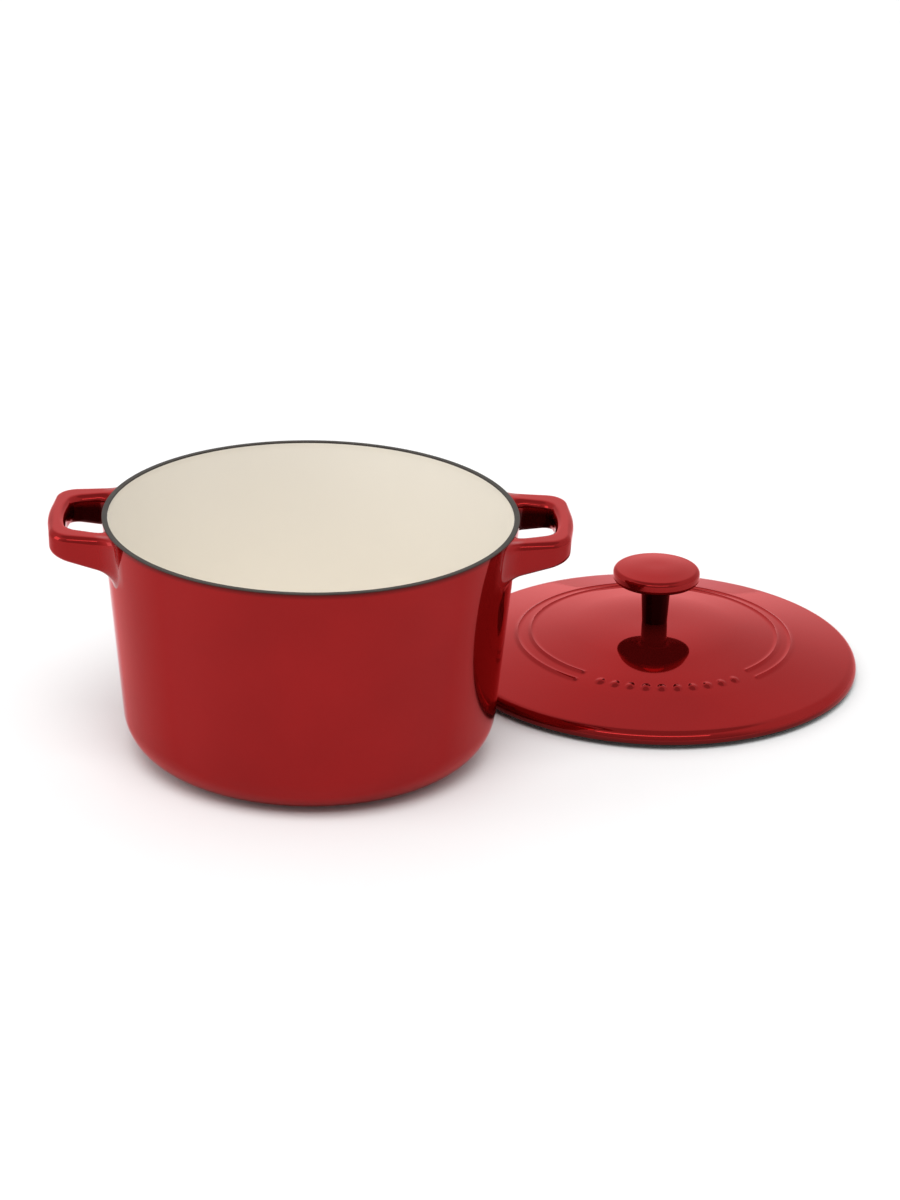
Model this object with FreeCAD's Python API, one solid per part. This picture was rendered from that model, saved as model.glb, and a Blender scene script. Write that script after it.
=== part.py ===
# Enamelled cast iron dutch oven with its lid laid beside it.
# Millimetres, +Z up. Origin at the centre of the pot's base, loop handles along X.
# Every coated surface is a chain of corners: the coat is what lies between that chain
# and the same chain set back by the coat's thickness, and the iron begins behind it.
import FreeCAD
import Part
import math
import os
from FreeCAD import Vector

# Coats
enamel_thickness = 0.4

# Pot
rim_radius = 119.7          # outside edge of the rim
rim_width = 3.5             # from the cream enamel to the outside edge
rim_arris = 0.5             # rounding of the bare rim's two edges, where the coats stop
pot_height = 144.4
wall_draft = 5.3            # degrees that the wall leans outwards
base_corner_radius = 26.0   # outside, from the wall to the rise above the base
base_rise_angle = 21.5      # degrees that the underside climbs from the flat base
base_rise_run = 0.6         # straight length of that rise, between its two roundings
base_sweep_radius = 40.0    # from the rise to the flat base
floor_thickness = 5.4       # iron and both coats
floor_corner_radius = 26.0  # inside, from the wall to the floor
hollow_draft = 5.8          # degrees, so the wall thickens towards the floor

# Loop handles
handle_standout = 30.8      # beyond the rim's outside edge
handle_bury = 16.0          # length of leg inside the rim's outside edge, before trimming
handle_half_width = 41.5    # of the loop where its legs leave the rim
handle_leg_width = 13.4
handle_bar_width = 10.4     # crossbar, seen from above
handle_corner_radius = 12.5
handle_opening_corner_radius = 10.0
handle_leg_lean = 7.3       # degrees that the legs' outer sides close in
handle_opening_lean = 17.0  # degrees that the opening's sides close in
handle_bow_angle = 6.4      # degrees that each half of the crossbar leans back
handle_bow_radius = 118.0   # outside, in the middle of the crossbar
handle_opening_bow_radius = 90.0
handle_root_step = 0.7      # from the coat's edge at the rim down to the handle's top
handle_end_step = 0.1       # the same at the crossbar
handle_root_height = 20.0
handle_end_height = 13.4
handle_edge_radius = 4.3
handle_edge_share = 0.45    # of the crossbar's width, the most that its edges are rounded
handle_corner_share = 0.95  # of the room on the crossbar, the most that a corner takes

# Lid, measured from the surface that it stands on
lid_overhang = 4.8          # beyond the rim's outside edge
lid_flange_height = 3.0     # underside of the flange
lid_crown_height = 29.9
lid_cone_angle = 11.0       # degrees that the top falls from the crown to the ridges
lid_skirt_angle = 13.2      # and from the ridges to the edge
lid_wall = 4.4              # iron and both coats
lid_shoulder_radius = 6.0
lid_skirt_radius = 600.0    # gentle turn of the top surface at the ridges
lid_crown_radius = 215.0
lid_crown_margin = 1.5      # flat of the crown beyond the flat washer's edge
lid_bare_edge = 0.9         # iron left bare at the flange's lower edge
locating_ring_width = 4.0
locating_ring_clearance = 1.5
locating_ring_end_gap = 0.5 # straight land of the pot's mouth below the seated ring
locating_ring_corner_radius = 4.0
ring_arris = 0.6

# Ridges and the plain beads that fill the gap between their ends
ridge_mid_radius = 79.6
ridge_spacing = 8.3
ridge_width = 2.3
ridge_rise = 0.9
ridge_gap_angle = 80.0
bead_width = 5.0
bead_rise = 0.9
bead_count = 10
bead_span_angle = 61.0

# Knob
knob_foot_radius = 7.7
knob_neck_radius = 9.1
knob_cap_radius = 26.4
knob_height = 36.7
knob_crown_drop = 2.2       # from the top of the crown to the cap's upper edge
knob_crown_corner = 11.0
knob_crown_radius = 90.0
knob_edge_height = 7.5
knob_upper_radius = 3.0     # rounding from the edge to the top
knob_lower_radius = 3.0     # rounding from the edge to the underside
knob_rounding_share = 0.45  # of the edge's height, the most that either rounding may be
knob_underside_rise = 3.0   # the underside climbs from the neck to the edge
knob_neck_fillet = 4.0

# Fixing: M6 screw, flat washer and spring washer
screw_radius = 3.0
screw_grip = 11.0           # length inside the knob
screw_head_radius = 5.8
screw_head_height = 3.6
screw_head_edge = 1.6
recess_width = 1.3
recess_length = 6.0
recess_depth = 1.8
thread_clearance = 0.05
screw_hole_clearance = 0.5
knob_bore_spare = 2.0       # bore beyond the screw's end
flat_washer_radius = 9.0
flat_washer_thickness = 1.2
washer_clearance = 0.3
lock_washer_radius = 5.3
lock_washer_thickness = 1.5
lock_washer_split = 1.2

# Where the lid lies
lid_bearing = 29.56         # degrees from +X, seen from the pot's axis
lid_tuck = 4.16             # how far the lid's edge lies in under the pot's rim
lid_turn = -86.8            # degrees from +X to the middle of the ridges' gap

# Sizes that follow from those above
overshoot = 10.0            # length past a trimming plane, cut off again
flatness = 0.01             # height within which an edge counts as level
mouth_radius = rim_radius - rim_width
mouth_depth = lid_flange_height + locating_ring_end_gap
coat_top = pot_height - rim_arris
handle_reach = rim_radius + handle_standout
handle_root_x = rim_radius - handle_bury
lid_radius = rim_radius + lid_overhang
ring_outer_radius = mouth_radius - locating_ring_clearance
ring_inner_radius = ring_outer_radius - locating_ring_width
lid_cone_slope = math.tan(math.radians(lid_cone_angle))
lid_crown_flat = flat_washer_radius + lid_crown_margin
lid_crown_corner = lid_crown_flat + lid_crown_radius * math.tan(math.radians(lid_cone_angle) / 2)
lid_ridge_height = lid_crown_height - (ridge_mid_radius - lid_crown_corner) * lid_cone_slope
lid_skirt_slope = math.tan(math.radians(lid_skirt_angle))
lid_shoulder_height = lid_ridge_height - (lid_radius - ridge_mid_radius) * lid_skirt_slope
lid_seat_height = lid_crown_height - lid_wall
lid_distance = rim_radius + lid_radius - lid_tuck
lid_x = lid_distance * math.cos(math.radians(lid_bearing))
lid_y = lid_distance * math.sin(math.radians(lid_bearing))
draft_slope = math.tan(math.radians(wall_draft))
base_rise = math.radians(base_rise_angle)
base_corner_reach = base_corner_radius * math.tan(math.radians(90 - wall_draft - base_rise_angle) / 2)
base_sweep_reach = base_sweep_radius * math.tan(base_rise / 2)
base_rise_length = base_corner_reach + base_rise_run + base_sweep_reach
base_rise_top = base_rise_length * math.sin(base_rise)
base_rise_outside = rim_radius - (pot_height - base_rise_top) * draft_slope
base_rise_inside = base_rise_outside - base_rise_length * math.cos(base_rise)
base_flat_radius = base_rise_inside - base_sweep_reach


def offset_chain(chain, distance):
    """The chain moved to its left, with each corner's rounding kept concentric."""
    def side(a, b):
        du, dv = b[0] - a[0], b[1] - a[1]
        length = math.hypot(du, dv)
        return du / length, dv / length

    moved = []
    last = len(chain) - 1
    for i, (u, v, radius) in enumerate(chain):
        before = side(chain[i - 1], chain[i]) if i > 0 else side(chain[0], chain[1])
        after = side(chain[i], chain[i + 1]) if i < last else before
        turn = before[0] * after[1] - before[1] * after[0]
        share = distance / (1.0 + before[0] * after[0] + before[1] * after[1])
        moved_u = u - (before[1] + after[1]) * share
        moved_v = v + (before[0] + after[0]) * share
        change = -distance if turn > 0 else distance
        moved.append((moved_u, moved_v, radius + change if radius > 0 else 0.0))
    return moved


def rounded_edges(chain, to_space):
    """Lines between the chain's corners, with an arc at each corner that has a radius."""
    edges = []
    start = Vector(chain[0][0], chain[0][1], 0)
    for i in range(1, len(chain)):
        corner = Vector(chain[i][0], chain[i][1], 0)
        radius = chain[i][2]
        arrive = (corner - start).normalize()
        stop = corner
        arc = None
        if radius > 0 and i < len(chain) - 1:
            leave = (Vector(chain[i + 1][0], chain[i + 1][1], 0) - corner).normalize()
            half_turn = arrive.getAngle(leave) / 2.0
            reach = radius * math.tan(half_turn)
            stop = corner - arrive * reach
            inward = (leave - arrive).normalize()
            middle = corner + inward * (radius / math.cos(half_turn) - radius)
            finish = corner + leave * reach
            arc = Part.Arc(to_space(stop), to_space(middle), to_space(finish)).toShape()
        edges.append(Part.makeLine(to_space(start), to_space(stop)))
        start = stop
        if arc is not None:
            edges.append(arc)
            start = finish
    return edges


def upright(point):
    return Vector(point.x, 0, point.y)


def level(point):
    return Vector(point.x, point.y, 0)


def turned(chain):
    """The solid between the chain and the Z axis."""
    closed = list(chain)
    if chain[-1][0] > 0:
        closed.append((0.0, chain[-1][1], 0.0))
    if chain[0][0] > 0:
        closed.append((0.0, chain[0][1], 0.0))
    closed.append((chain[0][0], chain[0][1], 0.0))
    face = Part.Face(Part.Wire(rounded_edges(closed, upright)))
    return face.revolve(Vector(0, 0, 0), Vector(0, 0, 1), 360)


def between(shape, low, high):
    """The part of a shape that lies between two heights."""
    box = shape.BoundBox
    width = box.XLength + overshoot
    depth = box.YLength + overshoot
    corner = Vector(box.Center.x - width / 2, box.Center.y - depth / 2, low)
    return shape.common(Part.makeBox(width, depth, high - low, corner))


def disc(radius, low, high):
    return Part.makeCylinder(radius, high - low, Vector(0, 0, low))


# ---- pot ----

def pot_outside(inset):
    """Full body of the pot behind its outer coat, taller than the rim."""
    chain = [(0, 0, 0), (base_rise_inside, 0, base_sweep_radius),
             (base_rise_outside, base_rise_top, base_corner_radius),
             (rim_radius + overshoot * draft_slope, pot_height + overshoot, 0)]
    return turned(offset_chain(chain, inset))


def pot_hollow(growth):
    """The cavity, or the cavity with its coat when growth is the coat's thickness."""
    land = pot_height - mouth_depth
    foot = mouth_radius - (land - floor_thickness) * math.tan(math.radians(hollow_draft))
    chain = [(0, floor_thickness, 0), (foot, floor_thickness, floor_corner_radius),
             (mouth_radius, land, 0), (mouth_radius, pot_height + overshoot, 0)]
    return turned(offset_chain(chain, -growth))


def handle_plan(inset):
    """Seen from above: a loop with a bowed crossbar, its legs running in through the wall."""
    bow = math.tan(math.radians(handle_bow_angle))

    def loop(half_width, lean, reach, corner_radius, bow_radius):
        apex = reach + bow_radius * (math.hypot(1, bow) - 1)
        closing = math.tan(math.radians(lean))
        axis_width = half_width + rim_radius * closing
        corner_x = (apex - axis_width * bow) / (1 - closing * bow)
        corner_y = axis_width - corner_x * closing
        root_y = axis_width - handle_root_x * closing
        half_turn = math.radians(90 + lean - handle_bow_angle) / 2
        room = math.hypot(apex - corner_x, corner_y) - bow_radius * bow
        radius = min(corner_radius, handle_corner_share * room / math.tan(half_turn))
        return [(handle_root_x, -root_y, 0), (corner_x, -corner_y, radius), (apex, 0, bow_radius),
                (corner_x, corner_y, radius), (handle_root_x, root_y, 0)]

    def face(chain):
        edges = rounded_edges(chain, level)
        edges.append(Part.makeLine(level(Vector(*chain[-1][:2], 0)), level(Vector(*chain[0][:2], 0))))
        return Part.Face(Part.Wire(edges))

    outer = loop(handle_half_width, handle_leg_lean, handle_reach, handle_corner_radius,
                 handle_bow_radius)
    inner = loop(handle_half_width - handle_leg_width, handle_opening_lean,
                 handle_reach - handle_bar_width, handle_opening_corner_radius,
                 handle_opening_bow_radius)
    return face(offset_chain(outer, inset)).cut(face(offset_chain(inner, -inset)))


def handle_side(inset):
    """Seen from the side: nearly level on top, thinning from below towards the crossbar."""
    root_top = coat_top - handle_root_step
    climb = (handle_root_step - handle_end_step) / handle_standout
    root_low = root_top - handle_root_height
    low_climb = climb + (handle_root_height - handle_end_height) / handle_standout
    far = handle_reach + overshoot

    def line(height, slope, start, end):
        return [(x, height + (x - rim_radius) * slope, 0) for x in (start, end)]

    low = offset_chain(line(root_low, low_climb, 0, far), inset)
    top = offset_chain(line(root_top, climb, far, 0), inset)
    points = [Vector(x, 0, z) for x, z, radius in low + top]
    depth = 2 * handle_half_width
    face = Part.Face(Part.makePolygon(points + points[:1])).translated(Vector(0, depth, 0))
    return face.extrude(Vector(0, -2 * depth, 0))


def handle(inset):
    loop = handle_plan(inset).extrude(Vector(0, 0, pot_height)).common(handle_side(inset))
    radius = min(handle_edge_radius, handle_edge_share * handle_bar_width) - inset
    long_edges = []
    for edge in loop.Edges:
        box = edge.BoundBox
        level_run = max(box.XLength, box.YLength)
        if level_run > flatness and box.XMax > handle_root_x + enamel_thickness:
            long_edges.append(edge)
    return loop.Solids[0].makeFillet(radius, long_edges)


def pot_form(inset):
    """Body and both handles behind the outer coat."""
    right = handle(inset)
    left = right.mirror(Vector(0, 0, 0), Vector(1, 0, 0))
    return pot_outside(inset).fuse([right, left])


def make_pot():
    iron_form = pot_form(enamel_thickness)
    casting = between(iron_form.cut(pot_hollow(enamel_thickness)), enamel_thickness, pot_height)
    rim_edges = []
    for edge in casting.Edges:
        box = edge.BoundBox
        if box.ZMin > pot_height - flatness and box.XLength > mouth_radius:
            rim_edges.append(edge)
    casting = casting.makeFillet(rim_arris, rim_edges)

    coat = pot_form(0).cut(iron_form)
    base = disc(base_flat_radius, 0, enamel_thickness)
    outer = between(coat, 0, coat_top).cut(base)
    inner = between(pot_hollow(enamel_thickness).cut(pot_hollow(0)), 0, coat_top)
    return {
        "pot_casting": casting,
        "pot_outer_enamel": outer,
        "pot_inner_enamel": inner,
        "pot_base_enamel": base,
    }


# ---- lid, modelled about its own axis ----

def lid_top_chain():
    return [(0, lid_crown_height, 0), (lid_crown_corner, lid_crown_height, lid_crown_radius),
            (ridge_mid_radius, lid_ridge_height, lid_skirt_radius),
            (lid_radius, lid_shoulder_height, lid_shoulder_radius),
            (lid_radius, lid_flange_height - overshoot, 0)]


def lid_under_chain():
    """Underside of the lid, down to the inside of the locating ring."""
    ring_top = lid_ridge_height - lid_wall - (ring_inner_radius - ridge_mid_radius) * lid_skirt_slope
    return [(0, lid_seat_height, 0), (lid_crown_corner, lid_seat_height, lid_crown_radius),
            (ridge_mid_radius, lid_ridge_height - lid_wall, lid_skirt_radius),
            (ring_inner_radius, ring_top, locating_ring_corner_radius),
            (ring_inner_radius, -overshoot, 0)]


def top_height(radius):
    """Height of the lid's top surface on either side of the ridges' mid circle."""
    slope = lid_cone_slope if radius < ridge_mid_radius else lid_skirt_slope
    return lid_ridge_height - (radius - ridge_mid_radius) * slope


def cap_sphere(width, rise):
    """Radius of the round that is this wide where it stands out by this much."""
    return (width * width / 4 + rise * rise) / (2 * rise)


def lid_relief(inset):
    """Two broken ridges round the lid, and beads along their gap."""
    pieces = []
    round_radius = cap_sphere(ridge_width, ridge_rise)
    half_gap = ridge_gap_angle / 2
    for radius in (ridge_mid_radius - ridge_spacing / 2, ridge_mid_radius + ridge_spacing / 2):
        height = top_height(radius) + ridge_rise - round_radius
        end = half_gap + math.degrees(inset / radius)
        ridge = Part.makeTorus(radius, round_radius - inset, Vector(0, 0, height), Vector(0, 0, 1),
                               0, 360, 360 - 2 * end)
        ridge.rotate(Vector(0, 0, 0), Vector(0, 0, 1), lid_turn + end)
        pieces.append(ridge)
    bead_radius = cap_sphere(bead_width, bead_rise)
    height = top_height(ridge_mid_radius) + bead_rise - bead_radius
    for i in range(bead_count):
        share = i / (bead_count - 1) - 0.5
        angle = math.radians(lid_turn + bead_span_angle * share)
        centre = Vector(ridge_mid_radius * math.cos(angle), ridge_mid_radius * math.sin(angle), height)
        pieces.append(Part.makeSphere(bead_radius - inset, centre, Vector(1, 0, 0)))
    return pieces


def lid_form(inset):
    """Everything under the lid's top surface, down to the flange's underside."""
    form = between(turned(offset_chain(lid_top_chain(), -inset)), lid_flange_height, 2 * lid_crown_height)
    return form.fuse(lid_relief(inset))


def lid_hollow(growth):
    return turned(offset_chain(lid_under_chain(), growth))


def make_lid():
    iron_form = lid_form(enamel_thickness)
    hole = disc(screw_radius + screw_hole_clearance, 0, 2 * lid_crown_height)
    ring = disc(ring_outer_radius, 0, lid_flange_height + lid_wall / 2)
    casting = iron_form.fuse(ring).cut(lid_hollow(enamel_thickness)).cut(hole)
    bare_edges = []
    for edge in casting.Edges:
        box = edge.BoundBox
        flat_circle = box.ZLength < flatness and box.XLength > 2 * ring_inner_radius
        if flat_circle and box.ZMax < flatness:
            bare_edges.append(edge)
    casting = casting.makeFillet(ring_arris, bare_edges)

    coat = lid_form(0).cut(iron_form)
    outer = between(coat, lid_flange_height + lid_bare_edge, 2 * lid_crown_height).cut(hole)
    lining = lid_hollow(enamel_thickness).cut(lid_hollow(0))
    inner = between(lining, ring_arris, lid_crown_height).cut(hole)
    return {"lid_casting": casting, "lid_outer_enamel": outer, "lid_inner_enamel": inner}


# ---- knob, on the flat of the lid's crown ----

def knob_form(inset):
    """Mushroom knob behind its coat, with its foot's face left bare."""
    base = lid_crown_height
    top = base + knob_height
    edge_top = top - knob_crown_drop
    edge_low = edge_top - knob_edge_height
    neck = edge_low - knob_underside_rise
    upper_radius = min(knob_upper_radius, knob_rounding_share * knob_edge_height)
    lower_radius = min(knob_lower_radius, knob_rounding_share * knob_edge_height)
    chain = [(knob_foot_radius, base - overshoot, 0), (knob_foot_radius, base, 0),
             (knob_neck_radius, neck, knob_neck_fillet), (knob_cap_radius, edge_low, lower_radius),
             (knob_cap_radius, edge_top, upper_radius),
             (knob_crown_corner, top, knob_crown_radius), (0, top, 0)]
    return between(turned(offset_chain(chain, inset)), base, top + overshoot)


def make_knob():
    iron_form = knob_form(enamel_thickness)
    depth = screw_grip + knob_bore_spare
    bore = disc(screw_radius + thread_clearance, lid_crown_height, lid_crown_height + depth)
    return {"knob_casting": iron_form.cut(bore), "knob_enamel": knob_form(0).cut(iron_form)}


def make_fixing():
    """Screw from below, through the lid, with its two washers."""
    washer_top = lid_seat_height
    lock_top = washer_top - flat_washer_thickness
    head_top = lock_top - lock_washer_thickness
    head_low = head_top - screw_head_height
    hole_radius = screw_radius + washer_clearance

    flat_washer = disc(flat_washer_radius, lock_top, washer_top).cut(disc(hole_radius, lock_top, washer_top))
    lock_washer = disc(lock_washer_radius, head_top, lock_top).cut(disc(hole_radius, head_top, lock_top))
    split = Part.makeBox(lock_washer_radius + overshoot, lock_washer_split, lock_washer_thickness,
                         Vector(0, -lock_washer_split / 2, head_top))
    lock_washer = lock_washer.cut(split)

    head = turned([(0, head_low, 0), (screw_head_radius, head_low, screw_head_edge),
                   (screw_head_radius, head_top, 0)])
    shank = disc(screw_radius, head_top, lid_crown_height + screw_grip)
    screw = head.fuse(shank)
    for length, width in ((recess_length, recess_width), (recess_width, recess_length)):
        corner = Vector(-length / 2, -width / 2, head_low)
        screw = screw.cut(Part.makeBox(length, width, recess_depth, corner))
    return {"knob_screw": screw, "flat_washer": flat_washer, "lock_washer": lock_washer}


def main():
    os.makedirs("parts", exist_ok=True)
    nodes = make_pot()
    lid_nodes = {}
    lid_nodes.update(make_lid())
    lid_nodes.update(make_knob())
    lid_nodes.update(make_fixing())
    for name, shape in lid_nodes.items():
        nodes[name] = shape.translated(Vector(lid_x, lid_y, 0))
    for name, shape in nodes.items():
        shape = shape.removeSplitter()
        shape.exportStep("parts/" + name + ".step")
        box = shape.BoundBox
        print(f"{name:18s} valid {shape.isValid()} solids {len(shape.Solids)} volume {shape.Volume:11.1f} "
              f"x {box.XMin:8.2f} {box.XMax:8.2f} y {box.YMin:8.2f} {box.YMax:8.2f} "
              f"z {box.ZMin:7.2f} {box.ZMax:7.2f}")


main()
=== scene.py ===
# Enamelled cast iron dutch oven with its lid laid beside it: finishes, studio and camera.
import bpy
import math
import numpy as np
from mathutils import Matrix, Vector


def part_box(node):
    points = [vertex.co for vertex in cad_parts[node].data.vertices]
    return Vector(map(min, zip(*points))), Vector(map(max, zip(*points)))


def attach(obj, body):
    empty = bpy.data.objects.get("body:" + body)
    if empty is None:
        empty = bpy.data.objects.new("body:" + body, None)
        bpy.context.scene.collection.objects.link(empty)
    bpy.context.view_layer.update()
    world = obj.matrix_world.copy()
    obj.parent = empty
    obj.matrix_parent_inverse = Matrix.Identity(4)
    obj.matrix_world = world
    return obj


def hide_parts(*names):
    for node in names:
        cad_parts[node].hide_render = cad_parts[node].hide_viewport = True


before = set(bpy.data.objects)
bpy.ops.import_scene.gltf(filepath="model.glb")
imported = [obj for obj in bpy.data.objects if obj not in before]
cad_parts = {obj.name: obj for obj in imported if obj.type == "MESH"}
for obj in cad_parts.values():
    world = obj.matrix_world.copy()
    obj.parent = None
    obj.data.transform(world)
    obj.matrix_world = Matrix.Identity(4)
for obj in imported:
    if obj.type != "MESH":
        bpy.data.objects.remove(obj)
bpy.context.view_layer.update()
mm = 0.001
print("frame loaded")


def degTan(degrees):
    return math.tan(math.radians(degrees))


def roundedLine(corners, lineStep=0.004, arcStep=6, counts=None):
    # Straight runs between (radius, height, rounding) corners, each rounding a tangent arc about a
    # centre set back by rounding / cos(half turn) along the corner's bisector. counts gives every
    # run and every arc that many steps, so that two such lines match point for point
    xy = np.array([c[:2] for c in corners], float)
    pieces = [xy[:1]]
    start = xy[0]
    for i in range(1, len(corners)):
        corner, rounding = xy[i], corners[i][2]
        arrive = (corner - start) / np.linalg.norm(corner - start)
        stop = corner
        if rounding > 0 and i < len(corners) - 1:
            leave = (xy[i + 1] - corner) / np.linalg.norm(xy[i + 1] - corner)
            turn = math.atan2(arrive[0] * leave[1] - arrive[1] * leave[0], arrive @ leave)
            stop = corner - arrive * rounding * math.tan(abs(turn) / 2)
        steps = counts[0] if counts else max(1, int(np.linalg.norm(stop - start) / lineStep))
        pieces.append(start + (stop - start) * np.linspace(0, 1, steps + 1)[1:, None])
        start = stop
        if stop is not corner:
            side = np.array([-arrive[1], arrive[0]]) * math.copysign(1, turn)
            centre = stop + side * rounding
            count = max(3, int(abs(math.degrees(turn)) / arcStep), int(abs(turn) * rounding / lineStep))
            swept = np.linspace(0, turn, (counts[1] if counts else count) + 1)[1:, None]
            spoke = stop - centre
            across = np.array([-spoke[1], spoke[0]])
            pieces.append(centre + spoke * np.cos(swept) + across * np.sin(swept))
            start = pieces[-1][-1]
    return np.concatenate(pieces)


def setBack(line, thickness):
    # The line moved to its left by the thickness, along its own normals
    run = np.gradient(line, axis=0)
    normal = np.stack([-run[:, 1], run[:, 0]], 1) / np.linalg.norm(run, axis=1, keepdims=True)
    return line + normal * thickness


def turnedGrid(profile, columns):
    # Every (radius, height) row of the profile swept round the Z axis: x = r cos a, y = r sin a
    angle = np.arange(columns) * 2 * math.pi / columns
    radius, height = profile[:, :1], profile[:, 1:2]
    return np.stack([radius * np.cos(angle), radius * np.sin(angle), height + 0 * angle], 2)


def shell(grid, closedRows=False, poles=(None, None)):
    # A grid whose columns close round, as points and faces: its rows close too, or each end is shut
    # by a fan to a pole. The faces are turned over if the enclosed volume comes out negative
    rows, columns = grid.shape[:2]
    points = grid.reshape(-1, 3)
    index = np.arange(rows * columns).reshape(rows, columns)
    if closedRows:
        index = np.vstack([index, index[:1]])
    a, b = index[:-1], np.roll(index[:-1], -1, 1)
    d, c = index[1:], np.roll(index[1:], -1, 1)
    quads = np.stack([a, b, c, d], 2).reshape(-1, 4)
    fans = []
    for pole, row, forward in ((poles[0], index[0], False), (poles[1], index[-1], True)):
        if pole is not None:
            tip = np.full(columns, len(points))
            points = np.vstack([points, [pole]])
            ends = (row, np.roll(row, -1)) if forward else (np.roll(row, -1), row)
            fans.append(np.stack([ends[0], ends[1], tip], 1))
    triangles = np.vstack(fans) if fans else np.zeros((0, 3), int)
    halves = np.vstack([quads[:, :3], quads[:, [0, 2, 3]], triangles])
    p, q, r = points[halves[:, 0]], points[halves[:, 1]], points[halves[:, 2]]
    if np.einsum("ij,ij->", p, np.cross(q, r)) < 0:
        quads, triangles = quads[:, ::-1], triangles[:, ::-1]
    return points, quads, triangles


def makePiece(name, shells, body, replaced, material, centre=(0, 0, 0), attributes=None):
    points, faces, count = [], [], 0
    for shellPoints, quads, triangles in shells:
        points.append(shellPoints + np.array(centre))
        faces += (quads + count).tolist() + (triangles + count).tolist()
        count += len(shellPoints)
    mesh = bpy.data.meshes.new(name)
    mesh.from_pydata(np.vstack(points).tolist(), [], faces)
    mesh.polygons.foreach_set("use_smooth", np.ones(len(faces), bool))
    mesh.set_sharp_from_angle(angle=math.radians(50))
    for label, values in (attributes or {}).items():
        layer = mesh.attributes.new(label, "FLOAT", "POINT")
        layer.data.foreach_set("value", np.concatenate(values).astype(np.float32))
    mesh.materials.append(material)
    mesh.update()
    piece = bpy.data.objects.new(name, mesh)
    bpy.context.scene.collection.objects.link(piece)
    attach(piece, body)
    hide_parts(*replaced)
    print(name, len(mesh.vertices), "points")
    return piece


def smoothStep(value, low, high):
    share = np.clip((value - low) / (high - low), 0, 1)
    return share * share * (3 - 2 * share)


def toLinear(hexColour):
    # sRGB hex to the linear colour that the shaders take
    srgb = np.array([int(hexColour[i:i + 2], 16) for i in (1, 3, 5)]) / 255
    linear = np.where(srgb <= 0.04045, srgb / 12.92, ((srgb + 0.055) / 1.055) ** 2.4)
    return (*linear.tolist(), 1.0)


def addNode(tree, kind, settings=None, sockets=None, links=None):
    # settings are the node's own properties, sockets its input values, links its inputs from others
    node = tree.nodes.new(kind)
    for key, value in (settings or {}).items():
        setattr(node, key, value)
    for key, value in (sockets or {}).items():
        node.inputs[key].default_value = value
    for key, source in (links or {}).items():
        tree.links.new(source, node.inputs[key])
    return node


def newMaterial(name):
    material = bpy.data.materials.new(name)
    material.use_nodes = True
    tree = material.node_tree
    tree.nodes.clear()
    output = addNode(tree, "ShaderNodeOutputMaterial")
    where = addNode(tree, "ShaderNodeTexCoord").outputs["Object"]
    return material, tree, output, where


def finishMaterial(tree, output, sockets, links):
    shader = addNode(tree, "ShaderNodeBsdfPrincipled", sockets=sockets, links=links)
    tree.links.new(shader.outputs[0], output.inputs["Surface"])
    return shader


redEnamelLook = {
    "colour": "#8e1616",        # sprayed thick
    "thinCoatAndShadeColour": "#0b0505",    # where the dark ground coat comes through under the rim, and painted shade elsewhere
    "poolMm": 55.0,             # size of the soft clouds in the fired coat
    "flowMm": 16.0,             # wavelength of the cast and fired waviness
    "flowHeightMm": 0.012,
    "roughness": 0.05,
    "mirrored": 0.8,            # share of the red that comes from the skin's reflections
    "paintedLightMirrored": 0.25,     # and in the handles' fillets, lowered as painted light so that they come out lighter
}


def makeRedEnamel(look):
    # Vitreous enamel, sprayed over a dark ground coat and fired: a glassy skin, a little wavy, whose
    # reflections come back red from the coloured glass. It is near black where the spray is thin under
    # the rim, and where shade is painted in: inside and under the handle loops, under the knob's cap
    # and down the lid's edge
    material, tree, output, where = newMaterial("redVitreousEnamel")
    # Low where the coat is thin under the rim, and where shade is painted in
    thinCoatAndShade = addNode(tree, "ShaderNodeAttribute", {"attribute_name": "thinCoatAndShade"})
    pool = addNode(tree, "ShaderNodeTexNoise",
                   sockets={"Scale": 1 / (look["poolMm"] * mm), "Detail": 2.0, "Roughness": 0.45},
                   links={"Vector": where})
    shade = addNode(tree, "ShaderNodeMapRange",
                    sockets={"From Min": 0.3, "From Max": 0.7, "To Min": 0.93, "To Max": 1.04},
                    links={"Value": pool.outputs["Fac"]})
    full = addNode(tree, "ShaderNodeMix", {"data_type": "RGBA", "blend_type": "MULTIPLY"},
                   sockets={0: 1.0, 6: toLinear(look["colour"])}, links={7: shade.outputs[0]})
    colour = addNode(tree, "ShaderNodeMix", {"data_type": "RGBA"},
                     sockets={6: toLinear(look["thinCoatAndShadeColour"])},
                     links={0: thinCoatAndShade.outputs["Fac"], 7: full.outputs[2]})
    flow = addNode(tree, "ShaderNodeTexNoise",
                   sockets={"Scale": 1 / (look["flowMm"] * mm), "Detail": 1.5, "Roughness": 0.4},
                   links={"Vector": where})
    wavy = addNode(tree, "ShaderNodeBump",
                   sockets={"Strength": 1.0, "Distance": look["flowHeightMm"] * mm},
                   links={"Height": flow.outputs["Fac"]})
    # Painted light: less mirror in the handles' fillets and on the wall beside them, so they come out lighter
    paintedFilletLight = addNode(tree, "ShaderNodeAttribute", {"attribute_name": "paintedFilletLight"})
    mirrored = addNode(tree, "ShaderNodeMapRange",
                       sockets={"To Min": look["mirrored"], "To Max": look["paintedLightMirrored"]},
                       links={"Value": paintedFilletLight.outputs["Fac"]})
    finishMaterial(tree, output,
                   {"Roughness": look["roughness"], "IOR": 1.5, "Specular Tint": toLinear("#ff7076"),
                    "Coat Weight": 0.15, "Coat Roughness": 0.03, "Coat IOR": 1.5},
                   {"Base Color": colour.outputs[2], "Metallic": mirrored.outputs[0],
                    "Normal": wavy.outputs[0]})
    return material


creamEnamelLook = {
    "colour": "#f0eadf",
    "flowMm": 22.0,
    "flowHeightMm": 0.010,
    "roughness": 0.16,
}


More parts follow.
